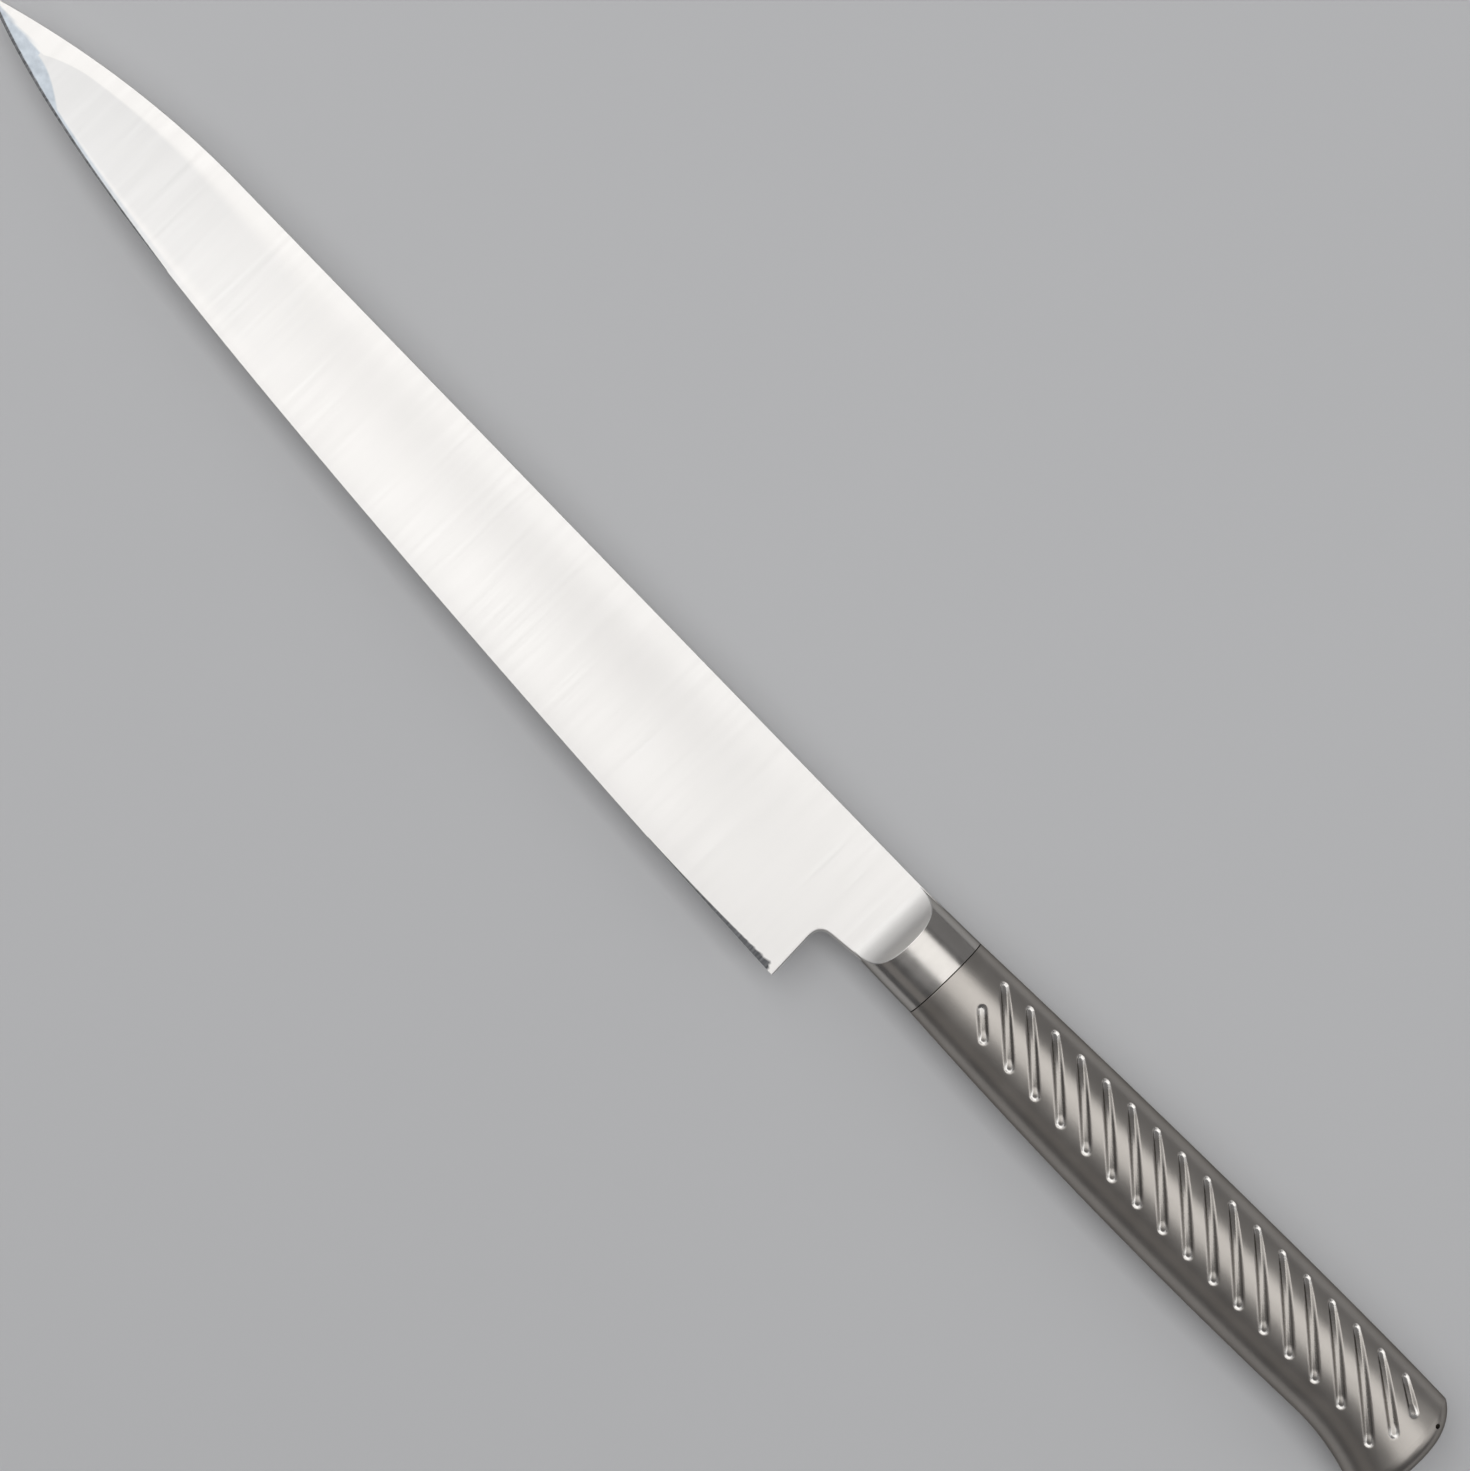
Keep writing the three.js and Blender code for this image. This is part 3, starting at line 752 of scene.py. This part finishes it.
def groove_press():
    """Presses flat-floored, soft-walled grooves into a skin along lines, shallower at the belly ends."""
    tree = bpy.data.node_groups.new("groove_press", "GeometryNodeTree")
    face = tree.interface
    face.new_socket("Skin", in_out="INPUT", socket_type="NodeSocketGeometry")
    for name in ("Lines", "Ends", "Belly Ends"):
        face.new_socket(name, in_out="INPUT", socket_type="NodeSocketObject")
    for name in ("Half Width", "Floor Half Width", "Depth", "End Reach", "End Rise"):
        face.new_socket(name, in_out="INPUT", socket_type="NodeSocketFloat")
    face.new_socket("Finish", in_out="INPUT", socket_type="NodeSocketMaterial")
    face.new_socket("Skin", in_out="OUTPUT", socket_type="NodeSocketGeometry")
    given = tree.nodes.new("NodeGroupInput").outputs

    wall = closeness(tree, given["Lines"], "EDGES", given["Half Width"], given["Floor Half Width"])
    at_end = closeness(tree, given["Ends"], "POINTS", given["End Reach"], 0.0)
    at_belly_end = closeness(tree, given["Belly Ends"], "POINTS", given["End Reach"], 0.0)
    outside = linked(tree, "GeometryNodeInputNamedAttribute", "outside", data_type="FLOAT")
    share = times(tree, wall, outside.outputs["Attribute"])
    depth_left = remainder(tree, times(tree, at_belly_end, given["End Rise"]))
    push = times(tree, times(tree, share, given["Depth"]), depth_left)
    normal = tree.nodes.new("GeometryNodeInputNormal").outputs["Normal"]
    offset = linked(tree, "ShaderNodeVectorMath", normal, operation="SCALE")
    feed(tree, offset.inputs["Scale"], times(tree, push, -1.0))
    pressed = linked(tree, "GeometryNodeSetPosition", given["Skin"])
    feed(tree, pressed.inputs["Offset"], offset.outputs["Vector"])

    marked_skin = pressed.outputs["Geometry"]
    # The groove walls and the closeness to their ends are kept for the painted shade and painted glints
    for name, value in (("pressed", share), ("groove_end", at_end)):
        stored = linked(tree, "GeometryNodeStoreNamedAttribute", marked_skin, data_type="FLOAT")
        feed(tree, stored.inputs["Name"], name)
        feed(tree, stored.inputs["Value"], value)
        marked_skin = stored.outputs["Geometry"]
    realized = linked(tree, "GeometryNodeRealizeInstances", marked_skin)
    finished = linked(tree, "GeometryNodeSetMaterial", realized.outputs["Geometry"])
    feed(tree, finished.inputs["Material"], given["Finish"])
    taken = tree.nodes.new("NodeGroupOutput")
    feed(tree, taken.inputs["Skin"], finished.outputs["Geometry"])
    return tree


def set_inputs(modifier, values):
    for item in modifier.node_group.interface.items_tree:
        if item.in_out == "INPUT" and item.name in values:
            modifier[item.identifier] = values[item.name]


def mark_outside(mesh, ring_size, side):
    """Marks the outer skin of a shell, without its seams, where the grooves may press in."""
    mark = mesh.attributes.new("outside", "FLOAT", "POINT")
    for index, value in enumerate(mark.data):
        column = index % ring_size
        if side < 0:
            column = ring_size - 1 - column
        value.value = 1.0 if 0 < column < SHELL_OUTER_POINTS else 0.0


def make_shell(name, side, press, finish):
    """A half shell with a rounded mouth, and the grooves pressed into it."""
    stations = [JOINT_GAP + MOUTH_ROUND * share for share in MOUTH_LIP_SHARES]
    stations += steps(JOINT_GAP + MOUTH_ROUND, SHELL_END, SHELL_STATIONS)
    rings = []
    for back in reversed(stations):
        mouth_inset = MOUTH_ROUND * (1 - arch_share(back - JOINT_GAP, MOUTH_ROUND))
        rings.append(shell_ring(back, side, mouth_inset))
    shell = loft(name, rings, HANDLE_SHARP_DEGREES)
    mark_outside(shell.data, len(rings[0]), side)
    guides = groove_guides(side)
    modifier = shell.modifiers.new("grooves", "NODES")
    modifier.node_group = press
    set_inputs(modifier, {
        **guides,
        "Half Width": GROOVE_WIDTH / 2 * MM,
        "Floor Half Width": GROOVE_FLOOR_WIDTH / 2 * MM,
        "Depth": GROOVE_DEPTH * MM,
        "End Reach": GROOVE_END_REACH * MM,
        "End Rise": GROOVE_END_RISE,
        "Finish": finish,
    })
    plain_result(shell)
    for guide in guides.values():
        bpy.data.objects.remove(guide)
    return shell


# Seam welds and butt cap


def make_seam(name, line_y, inward):
    """A strip between the shells, with its corners listed so that the strip faces out all round."""
    rings = []
    seam = SEAM_WELD_WIDTH / 2
    for back in reversed(steps(JOINT_GAP, SHELL_END, SEAM_STATIONS)):
        outer = line_y(back)
        inner = outer + inward * SHELL_WALL
        corners = [(inner, seam), (outer, seam), (outer, -seam), (inner, -seam)]
        if inward < 0:
            corners.reverse()
        rings.append([(-back, y, z) for y, z in corners])
    return loft(name, rings, HANDLE_SHARP_DEGREES)


def butt_ring(back, inset=0):
    """A ring of the butt, which turns in sharply at spine and belly and softly on the flanks."""
    along = (back - SHELL_END) / (BUTT_DOME - BUTT_FLAT)
    middle, half_height, half_thickness = handle_oval(SHELL_END)
    half_height *= (1 - along**BUTT_SPINE_CORNER) ** (1 / BUTT_SPINE_END)
    half_thickness *= (1 - along**BUTT_FLANK_CORNER) ** (1 / BUTT_FLANK_END)
    return oval_ring(-back, (middle, half_height, half_thickness), BUTT_POINTS, inset)


def make_butt_weld():
    rings = [butt_ring(CAP_START, SHELL_WALL)]
    rings += [butt_ring(back) for back in steps(CAP_START, SHELL_END, BUTT_WELD_STATIONS)]
    rings += [butt_ring(SHELL_END, SHELL_WALL)]
    return loft("butt_weld_ring", rings, HANDLE_SHARP_DEGREES)


def vent_ring(z):
    ring = []
    for turn in steps(0, 2 * math.pi, VENT_POINTS)[:-1]:
        x = -HANDLE_LENGTH + VENT_SETBACK + VENT_RADIUS * math.cos(turn)
        ring.append((x, VENT_Y + VENT_RADIUS * math.sin(turn), z))
    return ring


def make_butt_cap():
    depth = HANDLE_LENGTH - CAP_START - BUTT_FLAT
    turns = steps(CAP_LAST_TURN, 0, CAP_STATIONS)
    rings = [butt_ring(CAP_START + depth * math.sin(turn)) for turn in turns]
    cap = loft("butt_dome", rings, HANDLE_SHARP_DEGREES)
    vent = loft("vent_cutter", [vent_ring(z) for z in (VENT_FLOOR_Z, GRIP_THICKNESS)])
    cut(cap, vent, HANDLE_SHARP_DEGREES)
    return cap


# Materials


def new_material(name, metallic=1.0):
    material = bpy.data.materials.new(name)
    material.use_nodes = True
    tree = material.node_tree
    shader = tree.nodes["Principled BSDF"]
    shader.inputs["Metallic"].default_value = metallic
    place = tree.nodes.new("ShaderNodeTexCoord").outputs["Object"]
    return material, tree, shader, place


def noise(tree, place, scale, stretch=(1, 1, 1), detail=4):
    mapping = linked(tree, "ShaderNodeMapping", place)
    mapping.inputs["Scale"].default_value = stretch
    texture = linked(tree, "ShaderNodeTexNoise", mapping.outputs["Vector"])
    texture.inputs["Scale"].default_value = scale
    texture.inputs["Detail"].default_value = detail
    return texture.outputs["Fac"]


def ranged(tree, value, low, high):
    """Spreads a noise over the range from low to high."""
    return linked(tree, "ShaderNodeMapRange", value, NOISE_LOW, NOISE_HIGH, low, high).outputs["Result"]


def mixed(tree, share, first, second):
    mix = linked(tree, "ShaderNodeMix", data_type="RGBA")
    given = {"Factor_Float": share, "A_Color": first, "B_Color": second}
    for socket in mix.inputs:
        if socket.identifier in given:
            feed(tree, socket, given[socket.identifier])
    return next(socket for socket in mix.outputs if socket.identifier == "Result_Color")


def varied(tree, value, dark, light):
    """A colour that a noise varies from dark to light."""
    return mixed(tree, ranged(tree, value, 0, 1), dark, light)


def relief(tree, shader, height, depth, strength):
    bump = tree.nodes.new("ShaderNodeBump")
    bump.inputs["Strength"].default_value = strength
    bump.inputs["Distance"].default_value = depth * MM
    feed(tree, bump.inputs["Height"], height)
    feed(tree, shader.inputs["Normal"], bump.outputs["Normal"])


def marked(tree, name):
    return linked(tree, "ShaderNodeAttribute", attribute_name=name).outputs["Fac"]


def satin_blade():
    """A bright grind across the blade, with the hollow painted darker, partly for its own grind and partly
    as shade, the stoned flat painted bluish grey as a reflection, and painted shade along the keen edge.
    """
    material, tree, shader, place = new_material("satin_blade_steel")
    strokes = noise(tree, place, scale=1400, stretch=(1, 0.03, 0.3), detail=3)
    clouds = noise(tree, place, scale=25)
    mottle = noise(tree, place, scale=700)
    hatch = noise(tree, place, scale=2200, stretch=(1, 0.05, 0.05), detail=2)
    # The hollow painted darker near the tip: partly its own grind, partly painted shade
    hollow = times(tree, marked(tree, "hollow"), HOLLOW_GRIND_AND_SHADE_SHARE)
    color = varied(tree, clouds, BLADE_DARK, BLADE_LIGHT)
    color = mixed(tree, hollow, color, HOLLOW_GRIND_AND_SHADE_COLOR)
    # The stoned flat painted bluish grey as a reflection of grey surroundings
    color = mixed(tree, marked(tree, "stoned"), color, varied(tree, mottle, STONED_PAINTED_REFLECTION_DARK, STONED_PAINTED_REFLECTION_LIGHT))
    # Painted shade along the keen edge near the tip and at the heel
    color = mixed(tree, marked(tree, "edge_shade"), color, varied(tree, hatch, PAINTED_EDGE_SHADE_DARK, PAINTED_EDGE_SHADE_LIGHT))
    feed(tree, shader.inputs["Base Color"], color)
    feed(tree, shader.inputs["Roughness"], ranged(tree, strokes, *BLADE_ROUGHNESS))
    relief(tree, shader, strokes, depth=0.002, strength=0.2)
    return material


def polished_bolster():
    """A polished barrel with fine rings round it, and cheeks ground like the blade."""
    material, tree, shader, place = new_material("polished_bolster_steel")
    rings = noise(tree, place, scale=900, stretch=(1, 0.03, 0.03), detail=3)
    smears = noise(tree, place, scale=180)
    scooped = marked(tree, "scooped")
    barrel = varied(tree, smears, BARREL_DARK, BARREL_LIGHT)
    fine = added(tree, ranged(tree, rings, *BARREL_RING_ROUGHNESS), ranged(tree, smears, *BARREL_ROUGHNESS))
    coarse = times(tree, scooped, SCOOP_ADDED_ROUGHNESS)
    feed(tree, shader.inputs["Base Color"], mixed(tree, scooped, barrel, SCOOP_COLOR))
    feed(tree, shader.inputs["Roughness"], added(tree, fine, coarse))
    shader.inputs["Specular Tint"].default_value = GRAZING_TINT
    relief(tree, shader, rings, depth=0.003, strength=0.2)
    return material


def blasted_shell(name, dark, light):
    """Blasted steel, with painted shade on the groove walls and painted glints at the grooves' ends."""
    material, tree, shader, place = new_material(name)
    grit = noise(tree, place, scale=4200, detail=2)
    patches = noise(tree, place, scale=140)
    pressed = marked(tree, "pressed")
    halfway = times(tree, pressed, remainder(tree, pressed))
    groove_wall = times(tree, halfway, 4)
    groove_end = times(tree, groove_wall, marked(tree, "groove_end"))
    color = varied(tree, patches, dark, light)
    # Painted shade on the groove walls
    color = mixed(tree, times(tree, groove_wall, GROOVE_WALL_PAINTED_SHADE_SHARE), color, GROOVE_WALL_PAINTED_SHADE_COLOR)
    # Painted glints at the groove ends
    color = mixed(tree, groove_end, color, GROOVE_END_PAINTED_GLINT_COLOR)
    fine = added(tree, ranged(tree, grit, *SHELL_GRIT_ROUGHNESS), ranged(tree, patches, *SHELL_ROUGHNESS))
    polish = times(tree, groove_wall, GROOVE_WALL_ADDED_ROUGHNESS)
    feed(tree, shader.inputs["Base Color"], color)
    feed(tree, shader.inputs["Roughness"], added(tree, fine, polish))
    shader.inputs["Specular Tint"].default_value = GRAZING_TINT
    relief(tree, shader, grit, depth=0.02, strength=0.35)
    return material


def pale_floor():
    material, tree, shader, place = new_material("pale_floor", metallic=0.0)
    cloud = noise(tree, place, scale=8)
    feed(tree, shader.inputs["Base Color"], mixed(tree, cloud, FLOOR_DARK, FLOOR_LIGHT))
    shader.inputs["Roughness"].default_value = FLOOR_ROUGHNESS
    return material


# Putting the pieces on the frame


def fit(piece, material, slot, *nodes):
    piece.data.materials.clear()
    piece.data.materials.append(material)
    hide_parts(*nodes)
    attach(piece, "root")


def dress_knife():
    shell_finish = blasted_shell("blasted_shell_steel", SHELL_DARK, SHELL_LIGHT)
    weld_finish = blasted_shell("blasted_weld_steel", WELD_DARK, WELD_LIGHT)
    press = groove_press()
    fit(make_blade(), satin_blade(), "blade_steel", "blade")
    fit(make_bolster(), polished_bolster(), "bolster_steel", "bolster")
    shells = (("shell_back", "handle_shell_back", 1), ("shell_front", "handle_shell_front", -1))
    for name, node, side in shells:
        fit(make_shell(name, side, press, shell_finish), shell_finish, "shell_steel", node)
    fit(make_seam("spine_weld", handle_spine_y, 1), weld_finish, "weld_steel", "spine_seam_weld")
    fit(make_seam("belly_weld", handle_belly_y, -1), weld_finish, "weld_steel", "belly_seam_weld")
    fit(make_butt_weld(), weld_finish, "weld_steel", "butt_seam_weld")
    fit(make_butt_cap(), shell_finish, "shell_steel", "butt_cap")
    for bead_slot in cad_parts["tang_weld"].material_slots:
        bead_slot.material = weld_finish


# Camera, floor and lights


def make_camera():
    data = bpy.data.cameras.new("camera")
    data.sensor_width = SENSOR_WIDTH
    data.lens = SENSOR_WIDTH * CAMERA_HEIGHT / (PHOTO_WIDTH / PHOTO_PX_PER_MM)
    right = Vector((-math.cos(PHOTO_TURN), -math.sin(PHOTO_TURN), 0))
    up = Vector((math.sin(PHOTO_TURN), -math.cos(PHOTO_TURN), 0))
    turn = Matrix((right, up, right.cross(up))).transposed().to_4x4()
    camera = scene_object("camera", data)
    camera.matrix_world = Matrix.Translation(placed(*PHOTO_CENTRE, CAMERA_HEIGHT)) @ turn
    bpy.context.scene.camera = camera


def make_floor():
    size = FLOOR_HALF_SIZE
    corners = [(-size, -size, 0), (size, -size, 0), (size, size, 0), (-size, size, 0)]
    mesh = bpy.data.meshes.new("floor")
    mesh.from_pydata(corners, [], [(0, 1, 2, 3)])
    mesh.materials.append(pale_floor())
    floor = scene_object("floor", mesh)


def soft_box(name, tilt, spread, length, brightness, forward=0, lean=0, color=WHITE_LIGHT):
    """A light along the knife: tilted, in degrees, from overhead to the spine side, and leant to the tip."""
    tilt, spread, lean = (math.radians(angle) for angle in (tilt, spread, lean))
    data = bpy.data.lights.new(name, "AREA")
    data.shape = "RECTANGLE"
    data.size = length
    data.size_y = 2 * LIGHT_DISTANCE * math.tan(spread / 2)
    data.energy = brightness * math.pi * data.size * data.size_y
    data.color = color
    across = Vector((0, math.cos(tilt), math.sin(tilt)))
    overhead = Vector((0, -math.sin(tilt), math.cos(tilt)))
    away = overhead * math.cos(lean) + Vector((math.sin(lean), 0, 0))
    turn = Matrix((across.cross(away), across, away)).transposed().to_4x4()
    centre = placed(*PHOTO_CENTRE, 0) + Vector((forward, 0, 0))
    light = scene_object(name, data)
    light.matrix_world = Matrix.Translation(centre + away * LIGHT_DISTANCE) @ turn


def make_lights():
    soft_box("main_box", tilt=9.5, spread=31, length=1.9, brightness=1.4)
    soft_box("blade_box", tilt=-21, spread=30, length=0.92, brightness=0.6, forward=0.5)
    soft_box("edge_side_box", tilt=-14, spread=28, length=1.9, brightness=0.12)
    soft_box("spine_side_fill", tilt=62, spread=50, length=1.9, brightness=0.12)
    soft_box("edge_side_fill", tilt=-56, spread=22, length=1.6, brightness=0.14, color=WARM_LIGHT)
    soft_box("tip_side_fill", tilt=0, spread=50, length=0.9, brightness=0.54, lean=54)
    soft_box("butt_side_fill", tilt=40, spread=36, length=0.7, brightness=0.6, lean=-46)
    world = bpy.data.worlds.new("studio")
    world.use_nodes = True
    world.node_tree.nodes["Background"].inputs["Color"].default_value = WORLD_COLOR
    bpy.context.scene.world = world
    bpy.context.scene.view_settings.view_transform = "Standard"


make_camera()
make_floor()
make_lights()
dress_knife()
